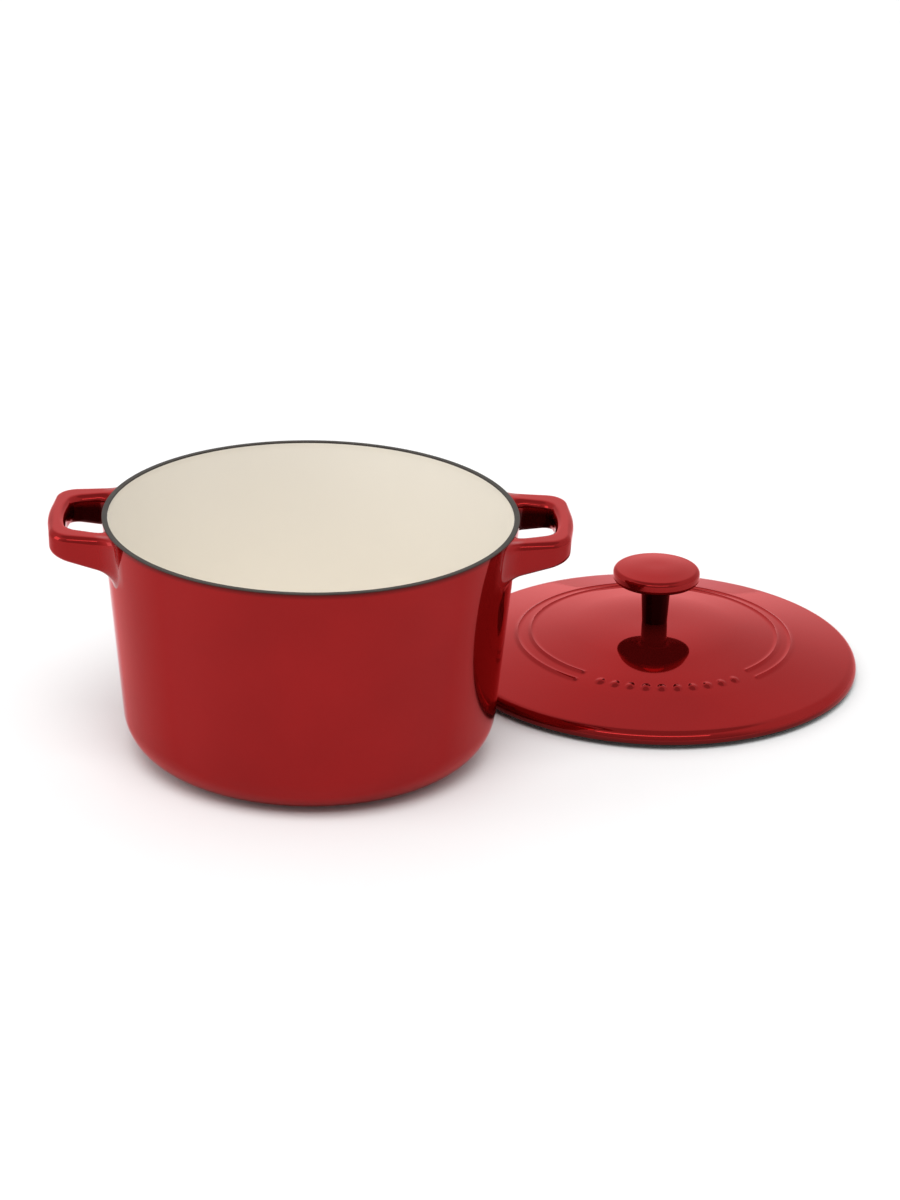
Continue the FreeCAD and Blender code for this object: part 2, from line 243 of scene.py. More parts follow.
def makeCreamEnamel(look):
    # Pale vitreous lining, fired glossy: warm cream with hardly any variation
    material, tree, output, where = newMaterial("creamVitreousEnamel")
    cloud = addNode(tree, "ShaderNodeTexNoise", sockets={"Scale": 1 / (60 * mm), "Detail": 3.0},
                    links={"Vector": where})
    shade = addNode(tree, "ShaderNodeMapRange", sockets={"To Min": 0.975, "To Max": 1.0},
                    links={"Value": cloud.outputs["Fac"]})
    colour = addNode(tree, "ShaderNodeMix", {"data_type": "RGBA", "blend_type": "MULTIPLY"},
                     sockets={0: 1.0, 6: toLinear(look["colour"])}, links={7: shade.outputs[0]})
    flow = addNode(tree, "ShaderNodeTexNoise", sockets={"Scale": 1 / (look["flowMm"] * mm)},
                   links={"Vector": where})
    wavy = addNode(tree, "ShaderNodeBump",
                   sockets={"Strength": 1.0, "Distance": look["flowHeightMm"] * mm},
                   links={"Height": flow.outputs["Fac"]})
    finishMaterial(tree, output, {"Roughness": look["roughness"], "IOR": 1.5},
                   {"Base Color": colour.outputs[2], "Normal": wavy.outputs[0]})
    return material


bareIronLook = {
    "colour": "#46403a",
    "darkColour": "#2c2825",
    "metallic": 0.3,            # low, as seasoning covers the metal
    "grainMm": 0.9,             # coarser than real sand-cast grain, so that it shows
    "grainHeightMm": 0.06,
    "roughness": 0.6,
}


def makeBareIron(look):
    # Bare cast iron, sand cast and ground, dulled by seasoning: dark grey, matte and grainy
    material, tree, output, where = newMaterial("seasonedCastIron")
    grain = addNode(tree, "ShaderNodeTexNoise",
                    sockets={"Scale": 1 / (look["grainMm"] * mm), "Detail": 3.0}, links={"Vector": where})
    patch = addNode(tree, "ShaderNodeTexNoise", sockets={"Scale": 1 / (14 * mm), "Detail": 2.0},
                    links={"Vector": where})
    colour = addNode(tree, "ShaderNodeMix", {"data_type": "RGBA"},
                     sockets={6: toLinear(look["darkColour"]), 7: toLinear(look["colour"])},
                     links={0: patch.outputs["Fac"]})
    rough = addNode(tree, "ShaderNodeBump",
                    sockets={"Strength": 1.0, "Distance": look["grainHeightMm"] * mm},
                    links={"Height": grain.outputs["Fac"]})
    finishMaterial(tree, output,
                   {"Metallic": look["metallic"], "Roughness": look["roughness"], "Specular IOR Level": 0.3},
                   {"Base Color": colour.outputs[2], "Normal": rough.outputs[0]})
    return material


def makeGroundCoat():
    # Black ground-coat enamel under the base, fired matte and faintly pebbled by its setters
    material, tree, output, where = newMaterial("blackGroundCoat")
    pebble = addNode(tree, "ShaderNodeTexNoise", sockets={"Scale": 1 / (2.5 * mm), "Detail": 2.0},
                     links={"Vector": where})
    rough = addNode(tree, "ShaderNodeBump", sockets={"Strength": 1.0, "Distance": 0.05 * mm},
                    links={"Height": pebble.outputs["Fac"]})
    finishMaterial(tree, output,
                   {"Base Color": toLinear("#1c1a19"), "Roughness": 0.45, "IOR": 1.5},
                   {"Normal": rough.outputs[0]})
    return material


def makeTurnedSteel():
    # Stainless steel, turned: fine rings round the screw's axis, so a satin sheen
    material, tree, output, where = newMaterial("turnedStainlessSteel")
    lidMiddle = [-(low + high) / 2 for low, high in zip(*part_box("knob_screw"))]
    centred = addNode(tree, "ShaderNodeMapping", sockets={"Location": lidMiddle}, links={"Vector": where})
    rings = addNode(tree, "ShaderNodeTexWave", {"wave_type": "RINGS", "rings_direction": "Z"},
                    sockets={"Scale": 1 / (0.6 * mm) / 20, "Distortion": 0.4},
                    links={"Vector": centred.outputs[0]})
    rough = addNode(tree, "ShaderNodeBump", sockets={"Strength": 1.0, "Distance": 0.01 * mm},
                    links={"Height": rings.outputs["Fac"]})
    finishMaterial(tree, output,
                   {"Base Color": toLinear("#b9b8b4"), "Metallic": 1.0, "Roughness": 0.32},
                   {"Normal": rough.outputs[0]})
    return material


redEnamel = makeRedEnamel(redEnamelLook)
creamEnamel = makeCreamEnamel(creamEnamelLook)
bareIron = makeBareIron(bareIronLook)
shadedLidIron = makeBareIron({**bareIronLook, "colour": "#2a2420", "darkColour": "#1a1715"})  # darker than the pot's iron, as painted shade under the lid's flange
groundCoat = makeGroundCoat()
turnedSteel = makeTurnedSteel()
for node, material in (("pot_base_enamel", groundCoat), ("knob_screw", turnedSteel),
                       ("flat_washer", turnedSteel), ("lock_washer", turnedSteel),
                       ("knob_casting", bareIron)):
    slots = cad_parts[node].material_slots
    for slot in slots:
        slot.material = material
print("materials made")


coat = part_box("pot_base_enamel")[1][2]
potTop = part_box("pot_casting")[1][2]
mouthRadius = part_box("pot_inner_enamel")[1][0] - coat
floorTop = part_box("pot_inner_enamel")[0][2] + coat
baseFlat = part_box("pot_base_enamel")[1][0]

potShape = {
    "rimWidth": 3.5 * mm,
    "draft": 5.3,               # degrees that the wall leans outwards
    "baseRounding": 26.0 * mm,
    "riseAngle": 21.5,          # degrees that the underside climbs from the flat base
    "sweepRounding": 40.0 * mm,
    "floorRounding": 26.0 * mm,
    "mouthDepth": 3.5 * mm,
    "hollowDraft": 5.8,
    "bareEdge": 0.5 * mm,       # iron left bare below the rim, outside
    "bareLip": 0.8 * mm,        # and inside
    "rimArris": 0.5 * mm,
    "thinEdge": 1.7 * mm,       # dark band where the red coat runs thin under the rim
    "columns": 400,
}
rimRadius = mouthRadius + potShape["rimWidth"]
wallSlope = degTan(potShape["draft"])
coatTop = potTop - potShape["bareEdge"]


def wallRadius(height):
    return rimRadius - (potTop - height) * wallSlope


def outsideLine(top, lineStep, arcStep):
    # From the flat base up a shallow rise, round into the wall and up it. Rise and wall meet where
    # z = (wall radius at the table - start of the rise) t / (1 - wall slope t), t = tan of the rise
    shape = potShape
    climb = degTan(shape["riseAngle"])
    sweep = baseFlat + shape["sweepRounding"] * degTan(shape["riseAngle"] / 2)
    height = (wallRadius(0) - sweep) * climb / (1 - wallSlope * climb)
    return roundedLine([(baseFlat, 0, 0), (sweep, 0, shape["sweepRounding"]),
                        (wallRadius(height), height, shape["baseRounding"]), (wallRadius(top), top, 0)],
                       lineStep, arcStep)


def potShells():
    outer = outsideLine(coatTop, 0.003, 2.5)
    inner = setBack(outer, coat)[::-4]
    lip = np.array([[wallRadius(coatTop) - coat * 0.35, coatTop + coat * 0.25]])
    return shell(turnedGrid(np.vstack([outer, lip, inner]), potShape["columns"]), closedRows=True)


def creamShells():
    shape = potShape
    land = potTop - shape["mouthDepth"]
    foot = mouthRadius - (land - floorTop) * degTan(shape["hollowDraft"])
    edge = potTop - shape["bareLip"]
    inner = roundedLine([(0.001 * mm, floorTop, 0), (foot, floorTop, shape["floorRounding"]),
                         (mouthRadius, land, 20 * mm), (mouthRadius, edge, 0)], lineStep=0.004, arcStep=3)
    outer = setBack(inner, -coat)[::-3]
    grid = turnedGrid(np.vstack([inner[1:], outer]), 320)
    grid[-1, :, :2] *= 0.5
    return shell(grid, poles=((0, 0, floorTop), (0, 0, floorTop - coat)))


def ironShells():
    shape = potShape
    land = potTop - shape["mouthDepth"]
    foot = mouthRadius - (land - floorTop) * degTan(shape["hollowDraft"])
    arris = shape["rimArris"]
    inset = coat * 0.9
    line = roundedLine([(0.002, floorTop - inset, 0),
                        (foot + inset, floorTop - inset, shape["floorRounding"]),
                        (mouthRadius + inset, land, 0), (mouthRadius + 0.15 * mm, potTop - 1.2 * mm, 0),
                        (mouthRadius + 0.15 * mm, potTop, 0.5 * mm),
                        (rimRadius - 0.1 * mm, potTop, arris),
                        (rimRadius - 0.1 * mm, potTop - shape["bareEdge"] - 0.2 * mm, 0)],
                       lineStep=0.006, arcStep=7)
    outside = setBack(outsideLine(potTop * 0.9, 0.006, 7), inset)[::-1]
    line = np.vstack([line, outside, [[0.002, coat]]])
    return shell(turnedGrid(line, 360), poles=((0, 0, floorTop - inset), (0, 0, coat)))


handleShape = {
    "halfWidth": 41.5 * mm,     # of the loop where its legs leave the rim
    "legWidth": 13.4 * mm,
    "barWidth": 10.4 * mm,
    "cornerRadius": 14.0 * mm,
    "openingCornerRadius": 10.0 * mm,
    "legLean": 7.3,             # degrees that the legs' outer sides close in
    "openingLean": 17.0,
    "bowAngle": 6.4,
    "bowRadius": 118.0 * mm,
    "openingBowRadius": 90.0 * mm,
    "rootStep": 1.2 * mm,       # top of the leg below the rim, at the root
    "endStep": 0.6 * mm,
    "rootHeight": 20.0 * mm,
    "endHeight": 13.4 * mm,
    "upperRounding": 4.2 * mm,
    "lowerRounding": 4.0 * mm,
    "rootFlare": 8.0 * mm,      # cast fillet where a leg runs into the wall
    "faceLean": 0.7 * mm,       # draft of the outer side, from top to bottom
    "runSteps": 8,              # mesh steps along a straight, round an arc, and so on
    "arcSteps": 26,
    "roundSteps": 8,
    "sideSteps": 6,
    "legSteps": 10,
    "flareSteps": 14,
}


def loopLine(half, lean, reach, rounding, bowRadius):
    # One side of the loop in plan, from the end of one leg round the bowed crossbar to the other,
    # and the direction in which each leg comes in from the wall
    bow = degTan(handleShape["bowAngle"])
    closing = degTan(lean)
    apex = reach + bowRadius * (math.hypot(1, bow) - 1)
    axisWidth = half + rimRadius * closing
    cornerX = (apex - axisWidth * bow) / (1 - closing * bow)
    cornerY = axisWidth - cornerX * closing
    rootY = axisWidth - rimRadius * closing
    line = roundedLine([(rimRadius, -rootY, 0), (cornerX, -cornerY, rounding), (apex, 0, bowRadius),
                        (cornerX, cornerY, rounding), (rimRadius, rootY, 0)],
                       counts=(handleShape["runSteps"], handleShape["arcSteps"]))
    steps = handleShape["runSteps"]
    return line[steps:-steps]


def ringAround(width, height):
    # A rounded rectangle for every station: distance in from the outer side, height over the
    # underside, and the outward normal, all as (station, around) arrays
    shape = handleShape
    side = np.linspace(0, 1, shape["sideSteps"], endpoint=False)[None, :]
    turn = np.linspace(0, math.pi / 2, shape["roundSteps"] + 1)[None, :]
    upper = np.minimum(shape["upperRounding"], 0.47 * np.minimum(width, height))[:, None]
    lower = np.minimum(shape["lowerRounding"], 0.47 * np.minimum(width, height))[:, None]
    w, h = width[:, None], height[:, None]
    across, up, normalA, normalU = [], [], [], []
    corners = ((lower, lower, 180, "low"), (w - lower, lower, 270, "low"),
               (w - upper, h - upper, 0, "up"), (upper, h - upper, 90, "up"))
    for centreA, centreU, begin, which in corners:
        radius = lower if which == "low" else upper
        angle = turn + math.radians(begin)
        across.append(centreA + radius * np.cos(angle))
        up.append(centreU + radius * np.sin(angle))
        normalA.append(np.cos(angle) + 0 * w)
        normalU.append(np.sin(angle) + 0 * w)
    ring = []
    for parts in (across, up, normalA, normalU):
        pieces = []
        for i, arc in enumerate(parts):
            following = parts[(i + 1) % 4][:, :1]
            pieces.append(arc)
            pieces.append(arc[:, -1:] + (following - arc[:, -1:]) * side[:, 1:])
        ring.append(np.concatenate(pieces, 1))
    return ring


def handleShell(side):
    # A rounded rectangle carried round the loop between its outer and inner plan lines. Towards
    # the wall each leg runs on straight: a ring at distance d from the wall is grown by
    # F - sqrt(F^2 - (F - d)^2), a quarter circle of radius F, so it meets the wall along the wall
    shape = handleShape
    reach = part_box("pot_outer_enamel")[1][0]
    outer = loopLine(shape["halfWidth"], shape["legLean"], reach,
                     shape["cornerRadius"], shape["bowRadius"])
    inner = loopLine(shape["halfWidth"] - shape["legWidth"], shape["openingLean"],
                     reach - shape["barWidth"], shape["openingCornerRadius"], shape["openingBowRadius"])
    standout = reach - rimRadius
    rootTop = potTop - shape["rootStep"]
    rootLow = rootTop - shape["rootHeight"]
    climb = (shape["rootStep"] - shape["endStep"]) / standout
    lowClimb = climb + (shape["rootHeight"] - shape["endHeight"]) / standout

    def top(x):
        return rootTop + (x - rimRadius) * climb

    def low(x):
        return rootLow + (x - rimRadius) * lowClimb

    gap = inner - outer
    width = np.linalg.norm(gap, axis=1)
    height = top((outer + inner)[:, 0] / 2) - low((outer + inner)[:, 0] / 2)
    across, up, normalA, normalU = ringAround(width, height)
    share = across / width[:, None]
    rise = up / height[:, None]
    leanIn = shape["faceLean"] * (1 - rise) * (1 - share)
    plan = outer[:, None] + gap[:, None] * (share + leanIn / width[:, None])[..., None]
    z = low(plan[..., 0]) + rise * (top(plan[..., 0]) - low(plan[..., 0]))
    loop = np.dstack([plan, z])

    def leg(ring, ringShare, ringRise, ringA, ringU, end):
        # The straight stretch from this ring to the wall, worked out as where each point's own
        # line meets the cone that lies d outside the wall
        leanSpread = shape["openingLean"] - shape["legLean"]
        lean = np.tan(np.radians(shape["legLean"] + leanSpread * ringShare))
        toWall = np.stack([-np.ones_like(lean), end * lean, -(lowClimb + (climb - lowClimb) * ringRise)], 1)
        flare = shape["rootFlare"]
        swing = np.linspace(0, math.pi / 2, shape["flareSteps"])
        off = flare * (1 - np.sin(swing))[:, None]
        base = wallRadius(ring[:, 2])[None] + off
        fall = wallSlope * toWall[:, 2]
        a = toWall[:, 0] ** 2 + toWall[:, 1] ** 2 - fall ** 2
        b = ring[:, 0] * toWall[:, 0] + ring[:, 1] * toWall[:, 1] - base * fall
        c = ring[:, 0] ** 2 + ring[:, 1] ** 2 - base ** 2
        reachIn = (-b - np.sqrt(b ** 2 - a * c)) / a
        run = np.linspace(0, 1, shape["legSteps"], endpoint=False)[1:, None] * reachIn[:1]
        straight = ring[None] + toWall[None] * run[..., None]
        curved = ring[None] + toWall[None] * reachIn[..., None]
        grow = flare * (1 - np.cos(swing))[:, None]
        grow = np.vstack([grow, grow[-1:] + 1.0 * mm])
        off = np.vstack([off, off[-1:] - 0.06 * mm])
        curved = np.vstack([curved, curved[-1:]])
        upward = np.where(ringU > 0, ringU * 0.06, ringU)
        curved[..., 1] += end * grow * -ringA
        curved[..., 2] += grow * upward
        radial = np.hypot(curved[..., 0], curved[..., 1])
        wanted = wallRadius(np.minimum(curved[..., 2], coatTop)) + off
        curved[..., :2] *= (wanted / radial)[..., None]
        return np.concatenate([straight, curved])

    first = leg(loop[0], share[0], rise[0], normalA[0], normalU[0], -1)
    last = leg(loop[-1], share[-1], rise[-1], normalA[-1], normalU[-1], 1)
    body = np.concatenate([first[::-1], loop, last])
    tips = [ring.mean(0) * (0.975, 1, 1) for ring in (body[0], body[-1])]
    # Painted shade: near black on the loop's inner faces, darker on its underside, less of both close to the
    # wall
    inward = smoothStep(share, 0.72, 0.98) * smoothStep(1 - rise, 0.12, 0.42)
    under = smoothStep(1 - rise, 0.9, 1.0)
    inside = smoothStep(share, 0.3, 0.6)
    paintedShade = 1 - 0.93 * inward - 0.35 * under * (1 - inward)
    paintedShade, inside = [np.concatenate([np.repeat(part[:1], len(first), 0), part,
                                     np.repeat(part[-1:], len(last), 0)]) for part in (paintedShade, inside)]
    fromWall = np.hypot(body[..., 0], body[..., 1]) - wallRadius(body[..., 2])
    paintedShade = 1 - (1 - paintedShade) * (0.3 + 0.7 * smoothStep(fromWall, 0, 4 * mm))
    # Painted light in the fillet near the wall, on the outer side of the loop
    paintedFilletLight = (1 - smoothStep(fromWall, 3 * mm, 8 * mm)) * (1 - inside)
    body[..., 0] *= side
    poles = [tip * (side, 1, 1) for tip in tips]
    return shell(body, poles=poles), (np.append(paintedShade, (1, 1)), np.append(paintedFilletLight, (0, 0)))


def wallPaintedLight(points):
    # Painted light on the wall outside each leg: distance round the wall from the leg's outer side, times
    # height
    x, y, z = abs(points).T
    past = (np.arctan2(y, x) - math.asin(handleShape["halfWidth"] / rimRadius)) * rimRadius
    foot = coatTop - handleShape["rootHeight"]
    return (smoothStep(past, -4 * mm, 0) * (1 - smoothStep(past, 8 * mm, 18 * mm))
            * smoothStep(z, foot - 8 * mm, foot + 2 * mm))


body = potShells()
rightHandle, (rightHandleShade, rightFilletLight) = handleShell(1)
leftHandle, (leftHandleShade, leftFilletLight) = handleShell(-1)
bodyHeight = body[0][:, 2]
bodyCover = 1 - 0.75 * smoothStep(bodyHeight, coatTop - potShape["thinEdge"], coatTop - 0.2 * mm)
# The dark mix is the thin coat under the rim on the body and painted shade on the handles
makePiece("potRedEnamel", [body, rightHandle, leftHandle], "pot", ["pot_outer_enamel"],
          redEnamel, attributes={"thinCoatAndShade": [bodyCover, rightHandleShade, leftHandleShade],
                                 "paintedFilletLight": [wallPaintedLight(body[0]), rightFilletLight, leftFilletLight]})
makePiece("potCreamEnamel", [creamShells()], "pot", ["pot_inner_enamel"], creamEnamel)
makePiece("potIron", [ironShells()], "pot", ["pot_casting"], bareIron)
print("pot made")


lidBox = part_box("lid_outer_enamel")
lidCentre = np.array([(lidBox[0][0] + lidBox[1][0]) / 2, (lidBox[0][1] + lidBox[1][1]) / 2, 0])
lidRadius = (lidBox[1][0] - lidBox[0][0]) / 2
crownTop = lidBox[1][2]
flangeUnder = lidBox[0][2] - 0.9 * mm

lidShape = {
    "crownCorner": 31.2 * mm,
    "coneAngle": 11.0,          # degrees that the top falls from the crown to the ridges
    "skirtAngle": 13.2,         # and from the ridges to the edge
    "crownRounding": 215 * mm,
    "skirtRounding": 600 * mm,
    "shoulderRounding": 6.0 * mm,
    "wall": 4.4 * mm,
    "hole": 3.5 * mm,
    "ridgeMid": 79.6 * mm,
    "ridgeSpacing": 8.3 * mm,
    "ridgeWidth": 3.2 * mm,     # with the soft foot that the coat gives it
    "ridgeRise": 0.9 * mm,
    "ridgeGap": 80.0,           # degrees
    "gapBearing": -86.8,
    "beadWidth": 5.4 * mm,
    "beadRise": 0.9 * mm,
    "beadCount": 10,
    "beadSpan": 61.0,
    "ringWidth": 4.0 * mm,
    "ringClearance": 1.5 * mm,
    "columns": 600,
}


def lidTopLine():
    shape = lidShape
    ridgeHeight = crownTop - (shape["ridgeMid"] - shape["crownCorner"]) * degTan(shape["coneAngle"])
    shoulder = ridgeHeight - (lidRadius - shape["ridgeMid"]) * degTan(shape["skirtAngle"])
    return ridgeHeight, shoulder, [
        (shape["crownCorner"], crownTop, shape["crownRounding"]),
        (shape["ridgeMid"], ridgeHeight, shape["skirtRounding"]),
        (lidRadius, shoulder, shape["shoulderRounding"])]


def soft(distance, width):
    # 1 at the middle, falling as cos^2 to 0 at half the width
    return np.where(abs(distance) < width / 2, np.cos(math.pi * distance / width) ** 2, 0)


def lidRelief(radius, angle):
    # Two ridges broken over the gap, and a row of beads along it, as a height over the top surface
    shape = lidShape
    away = np.degrees(np.angle(np.exp(1j * (angle - math.radians(shape["gapBearing"])))))
    past = (abs(away) - shape["ridgeGap"] / 2) * math.pi / 180 * radius
    end = smoothStep(past, -0.6 * mm, 1.2 * mm)
    rise = 0
    for offset in (-0.5, 0.5):
        middle = shape["ridgeMid"] + offset * shape["ridgeSpacing"]
        rise = rise + shape["ridgeRise"] * soft(radius - middle, shape["ridgeWidth"]) * end
    pitch = shape["beadSpan"] / (shape["beadCount"] - 1)
    nearest = np.clip(np.round(away / pitch - 0.5) + 0.5, -(shape["beadCount"] - 1) / 2,
                      (shape["beadCount"] - 1) / 2)
    along = (away - nearest * pitch) * math.pi / 180 * shape["ridgeMid"]
    across = np.hypot(along, radius - shape["ridgeMid"]) / (shape["beadWidth"] / 2)
    dome = np.sqrt(np.clip(1 - across ** 2, 0, 1)) * smoothStep(1 - across, 0, 0.25)
    return rise + shape["beadRise"] * dome


def lidRedShell():
    shape = lidShape
    ridgeHeight, shoulder, corners = lidTopLine()
    line = roundedLine([(shape["hole"], crownTop, 0)] + corners + [(lidRadius, flangeUnder + 0.9 * mm, 0)],
                       lineStep=0.0012, arcStep=5)
    under = setBack(line, -coat)[::-5]
    lip = np.array([[lidRadius - coat / 2, flangeUnder + 0.7 * mm]])
    grid = turnedGrid(np.vstack([line, lip, under]), shape["columns"])
    radius = np.hypot(grid[..., 0], grid[..., 1])
    angle = np.arctan2(grid[..., 1], grid[..., 0])
    relief = lidRelief(radius, angle)
    relief[len(line):] = 0
    grid[..., 2] += relief
    made = shell(grid, closedRows=True)
    height = made[0][:, 2]
    reach = np.hypot(made[0][:, 0], made[0][:, 1])
    # Painted shade: darker down the lid's edge below the shoulder
    edge = smoothStep(shoulder - height, 2 * mm, 5 * mm) * (reach > lidRadius - 5 * mm)
    return made, 1 - 0.6 * edge


def lidUnderLine(growth):
    shape = lidShape
    ridgeHeight, shoulder, corners = lidTopLine()
    ringOuter = mouthRadius - shape["ringClearance"]
    ringInner = ringOuter - shape["ringWidth"]
    ringTop = ridgeHeight - shape["wall"] - (ringInner - shape["ridgeMid"]) * degTan(shape["skirtAngle"])
    line = roundedLine([(shape["hole"], crownTop - shape["wall"], 0),
                        (shape["crownCorner"], crownTop - shape["wall"], shape["crownRounding"]),
                        (shape["ridgeMid"], ridgeHeight - shape["wall"], shape["skirtRounding"]),
                        (ringInner, ringTop, 4 * mm), (ringInner, 0.6 * mm, 0)], lineStep=0.003, arcStep=8)
    return setBack(line, growth), ringInner, ringOuter


def lidCreamShell():
    line, ringInner, ringOuter = lidUnderLine(0)
    return shell(turnedGrid(np.vstack([line, setBack(line, -coat)[::-2]]), 320), closedRows=True)


def lidIronShell():
    # The casting between its two coats, with the bare lower edge of the flange and the bare
    # locating ring that it stands on
    shape = lidShape
    inset = coat * 0.9
    ridgeHeight, shoulder, corners = lidTopLine()
    under, ringInner, ringOuter = lidUnderLine(0)
    under = setBack(under, -inset)
    edge = lidRadius - 0.1 * mm
    outside = roundedLine([(shape["hole"], crownTop, 0)] + corners + [(lidRadius, flangeUnder + 1.2 * mm, 0)],
                          lineStep=0.006, arcStep=8)
    outside = setBack(outside, -inset)
    foot = roundedLine([(edge, flangeUnder + 1.2 * mm, 0), (edge, flangeUnder, 0.6 * mm),
                        (ringOuter, flangeUnder, 1.0 * mm), (ringOuter, 0, 0.7 * mm),
                        (ringInner, 0, 0.7 * mm), (ringInner, 0.7 * mm, 0)], lineStep=0.004, arcStep=12)
    return shell(turnedGrid(np.vstack([outside, foot, under[::-1]]), 360), closedRows=True)


lidRed, lidEdgeShade = lidRedShell()
makePiece("lidRedEnamel", [lidRed], "lid", ["lid_outer_enamel"], redEnamel, lidCentre,
          {"thinCoatAndShade": [lidEdgeShade]})
makePiece("lidCreamEnamel", [lidCreamShell()], "lid", ["lid_inner_enamel"], creamEnamel,
          lidCentre)
makePiece("lidIron", [lidIronShell()], "lid", ["lid_casting"], shadedLidIron, lidCentre)
print("lid made")


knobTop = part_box("knob_enamel")[1][2]
knobRadius = (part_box("knob_enamel")[1][0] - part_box("knob_enamel")[0][0]) / 2

knobShape = {
    "footRadius": 7.7 * mm,
    "neckRadius": 9.1 * mm,
    "crownDrop": 2.2 * mm,      # from the top of the crown to the cap's upper edge
    "crownCorner": 11.0 * mm,
    "crownRounding": 90 * mm,
    "edgeHeight": 7.5 * mm,
    "upperRounding": 3.0 * mm,
    "lowerRounding": 3.0 * mm,
    "undersideRise": 3.0 * mm,
    "neckFillet": 4.0 * mm,
    "columns": 240,
}


def knobShell():
    shape = knobShape
    edgeTop = knobTop - shape["crownDrop"]
    edgeLow = edgeTop - shape["edgeHeight"]
    neck = edgeLow - shape["undersideRise"]
    foot = crownTop + 0.02 * mm
    line = roundedLine([(shape["footRadius"], foot, 0),
                        (shape["neckRadius"], neck, shape["neckFillet"]),
                        (knobRadius, edgeLow, shape["lowerRounding"]),
                        (knobRadius, edgeTop, shape["upperRounding"]),
                        (shape["crownCorner"], knobTop, shape["crownRounding"]), (0.0002, knobTop, 0)],
                       lineStep=0.0008, arcStep=5)
    made = shell(turnedGrid(np.vstack([line[:-1], [[0.0002, knobTop]]]), shape["columns"]),
                 poles=((0, 0, foot), (0, 0, knobTop)))
    reach = np.hypot(made[0][:, 0], made[0][:, 1])
    height = made[0][:, 2]
    # Painted shade: near black under the cap, on its underside and the stem
    underCapShade = smoothStep(edgeLow + shape["lowerRounding"] * 0.9 - height, 0, 3 * mm)
    return made, 1 - 0.93 * underCapShade


knobRed, knobUndersideShade = knobShell()
makePiece("knobRedEnamel", [knobRed], "lid", ["knob_enamel"], redEnamel, lidCentre,
          {"thinCoatAndShade": [knobUndersideShade]})
print("knob made")


studio = {
    "ambient": 0.72,            # world strength for diffuse light
    "floorRadius": 6.0,
    "keyStrength": 1.5,
    "keyAngle": 40.0,           # degrees across the key's disc
    "keyElevation": 67.0,
    "keyBearing": -95.0,
    "fillPower": 6.0,
    "stripPower": 8.5,
    "rearGlow": 0.42,           # added to the world behind the set
    "glowTop": (0.62, 0.84),    # sines of the elevations between which it ends
    "glowSides": (0.06, 0.4),   # and how far to each side
    "ceiling": (0.82, 0.9),     # and between which the dim ceiling begins
    "dimmed": 0.45,
}


def makeFloor():
    # Matte white laminate sweep, faintly uneven
    material, tree, output, where = newMaterial("whiteLaminateFloor")
    grain = addNode(tree, "ShaderNodeTexNoise", sockets={"Scale": 1 / (30 * mm), "Detail": 3.0},
                    links={"Vector": where})
    shade = addNode(tree, "ShaderNodeMapRange", sockets={"To Min": 0.955, "To Max": 0.965},
                    links={"Value": grain.outputs["Fac"]})
    finishMaterial(tree, output, {"Roughness": 0.7, "Specular IOR Level": 0.2},
                   {"Base Color": shade.outputs[0]})
    bpy.ops.mesh.primitive_circle_add(vertices=96, radius=studio["floorRadius"], fill_type="NGON")
    floor = bpy.context.object
    floor.name = "floor"
    floor.data.materials.append(material)


def makeWorld():
    # White wherever the camera looks past the floor. Round the set, the studio's big rear scrim
    # glows softly over the horizon, while its ceiling and the camera's side are dim. Gloss and
    # transmission see that at full strength, and matte surfaces get less of it, beside the key
    world = bpy.data.worlds.new("studioWhite")
    world.use_nodes = True
    bpy.context.scene.world = world
    tree = world.node_tree
    tree.nodes.clear()
    output = addNode(tree, "ShaderNodeOutputWorld")
    path = addNode(tree, "ShaderNodeLightPath")
    way = addNode(tree, "ShaderNodeSeparateXYZ",
                  links={0: addNode(tree, "ShaderNodeTexCoord").outputs["Generated"]})

    aside = addNode(tree, "ShaderNodeMath", {"operation": "ABSOLUTE"}, links={0: way.outputs["X"]})

    def fade(source, start, end, before, after):
        return addNode(tree, "ShaderNodeMapRange", {"interpolation_type": "SMOOTHSTEP"},
                       sockets={"From Min": start, "From Max": end, "To Min": before, "To Max": after},
                       links={"Value": source}).outputs[0]

    def combine(operation, *sources):
        return addNode(tree, "ShaderNodeMath", {"operation": operation},
                       links=dict(enumerate(sources))).outputs[0]

    depth, height = way.outputs["Y"], way.outputs["Z"]
    glow = combine("MULTIPLY", fade(height, *studio["glowTop"], 1, 0),
                   combine("MULTIPLY", fade(depth, -0.1, 0.5, 0, studio["rearGlow"]),
                           fade(aside.outputs[0], *studio["glowSides"], 1, 0)))
    dim = combine("MAXIMUM", fade(height, *studio["ceiling"], 0, studio["dimmed"]),
                  fade(depth, -0.75, -0.35, studio["dimmed"], 0))
    around = addNode(tree, "ShaderNodeMath", {"operation": "ADD"}, sockets={1: 1.0},
                     links={0: combine("SUBTRACT", glow, dim)}).outputs[0]
    gloss = combine("MAXIMUM", path.outputs["Is Glossy Ray"], path.outputs["Is Transmission Ray"])
    share = addNode(tree, "ShaderNodeMapRange", sockets={"To Min": studio["ambient"], "To Max": 1.0},
                    links={"Value": gloss}).outputs[0]
    strength = combine("MAXIMUM", combine("MULTIPLY", around, share), path.outputs["Is Camera Ray"])
    light = addNode(tree, "ShaderNodeBackground", sockets={"Color": (1, 1, 1, 1)},
                    links={"Strength": strength})
    tree.links.new(light.outputs[0], output.inputs["Surface"])


def turnedTo(place, aim):
    # Matrix of something at a place whose -Z looks at the aim and whose X stays level
    forward = np.array(aim, float) - np.array(place, float)
    forward /= np.linalg.norm(forward)
    right = np.cross(forward, (0, 0, 1))
    right /= np.linalg.norm(right)
    up = np.cross(right, forward)
    return Matrix([(right[i], up[i], -forward[i], place[i]) for i in range(3)] + [(0, 0, 0, 1)])


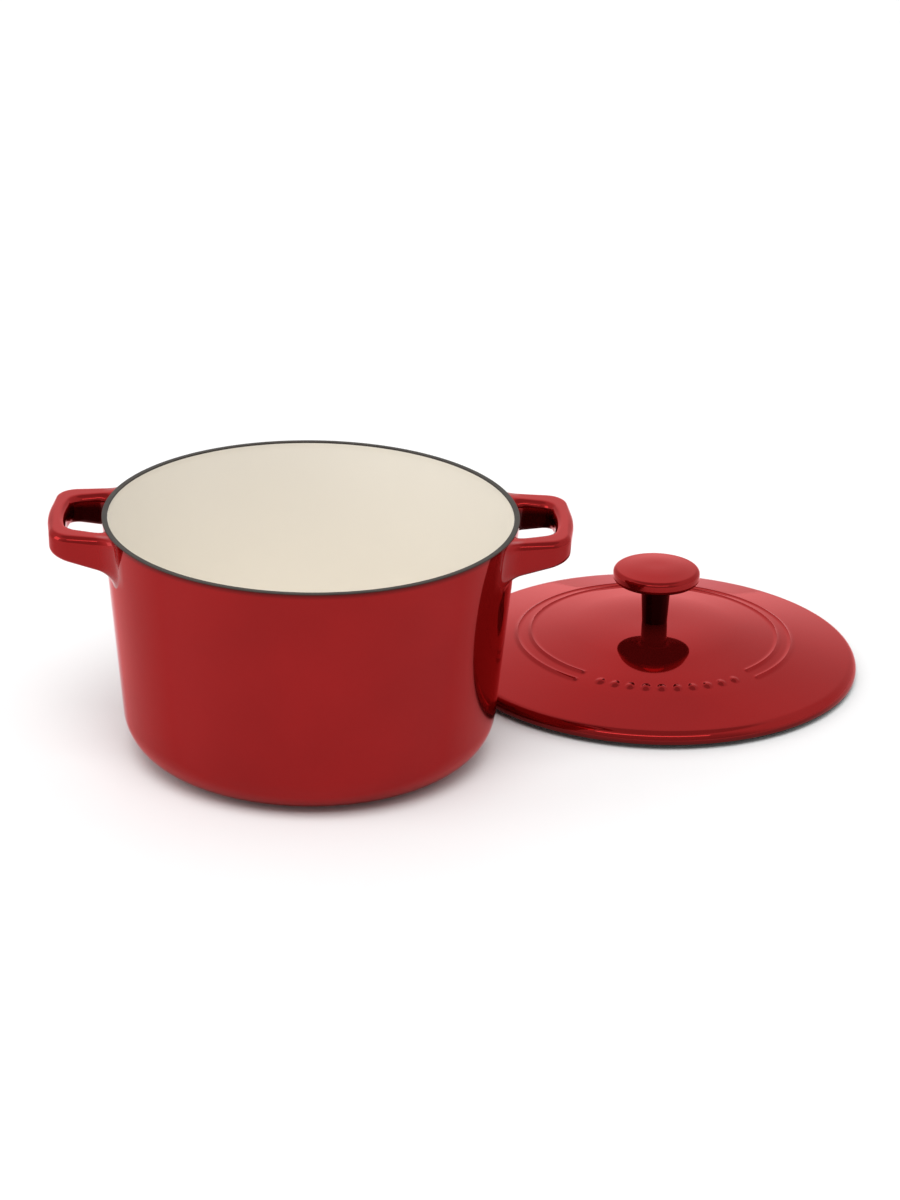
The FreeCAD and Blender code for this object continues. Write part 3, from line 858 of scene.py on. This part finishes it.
def makeKey():
    # Broad even key from over the camera, as a large ceiling softbox gives
    lamp = bpy.data.lights.new("key", "SUN")
    lamp.energy = studio["keyStrength"]
    lamp.angle = math.radians(studio["keyAngle"])
    key = bpy.data.objects.new("key", lamp)
    bpy.context.scene.collection.objects.link(key)
    elevation, bearing = math.radians(studio["keyElevation"]), math.radians(studio["keyBearing"])
    flat = math.cos(elevation)
    place = (3 * flat * math.cos(bearing), 3 * flat * math.sin(bearing), 3 * math.sin(elevation))
    key.matrix_world = turnedTo(place, (0, 0, 0))
    key.visible_glossy = False


def makeSoftbox(name, place, aim, size, power):
    lamp = bpy.data.lights.new(name, "AREA")
    lamp.shape = "RECTANGLE"
    lamp.size, lamp.size_y = size
    lamp.energy = power
    box = bpy.data.objects.new(name, lamp)
    bpy.context.scene.collection.objects.link(box)
    box.matrix_world = turnedTo(place, aim)


makeFloor()
makeWorld()
middle = (0.09, 0.05, 0.07)
makeKey()
makeSoftbox("frontStrip", (0.1, -1.75, 1.9), middle, (2.6, 0.36), studio["stripPower"])
makeSoftbox("leftSoftbox", (-1.7, -0.3, 0.8), middle, (0.8, 1.2), studio["fillPower"])
print("studio made")


cameraView = {
    "place": (0.0334, -2.0771, 0.9687),
    "pitch": 22.885,            # degrees below the horizon
    "bearing": -1.3,            # turn about Z from looking along +Y
    "roll": 1.242,
    "lens": 117.04,
    "sensor": 36.0,
}
lens = bpy.data.cameras.new("camera")
lens.lens = cameraView["lens"]
lens.sensor_width = cameraView["sensor"]
camera = bpy.data.objects.new("camera", lens)
bpy.context.scene.collection.objects.link(camera)
turn = Matrix.Rotation(math.radians(cameraView["bearing"]), 4, "Z")
tilt = Matrix.Rotation(math.radians(90 - cameraView["pitch"]), 4, "X")
roll = Matrix.Rotation(math.radians(cameraView["roll"]), 4, "Z")
camera.matrix_world = Matrix.Translation(cameraView["place"]) @ turn @ tilt @ roll
bpy.context.scene.camera = camera
bpy.context.scene.view_settings.view_transform = "Standard"
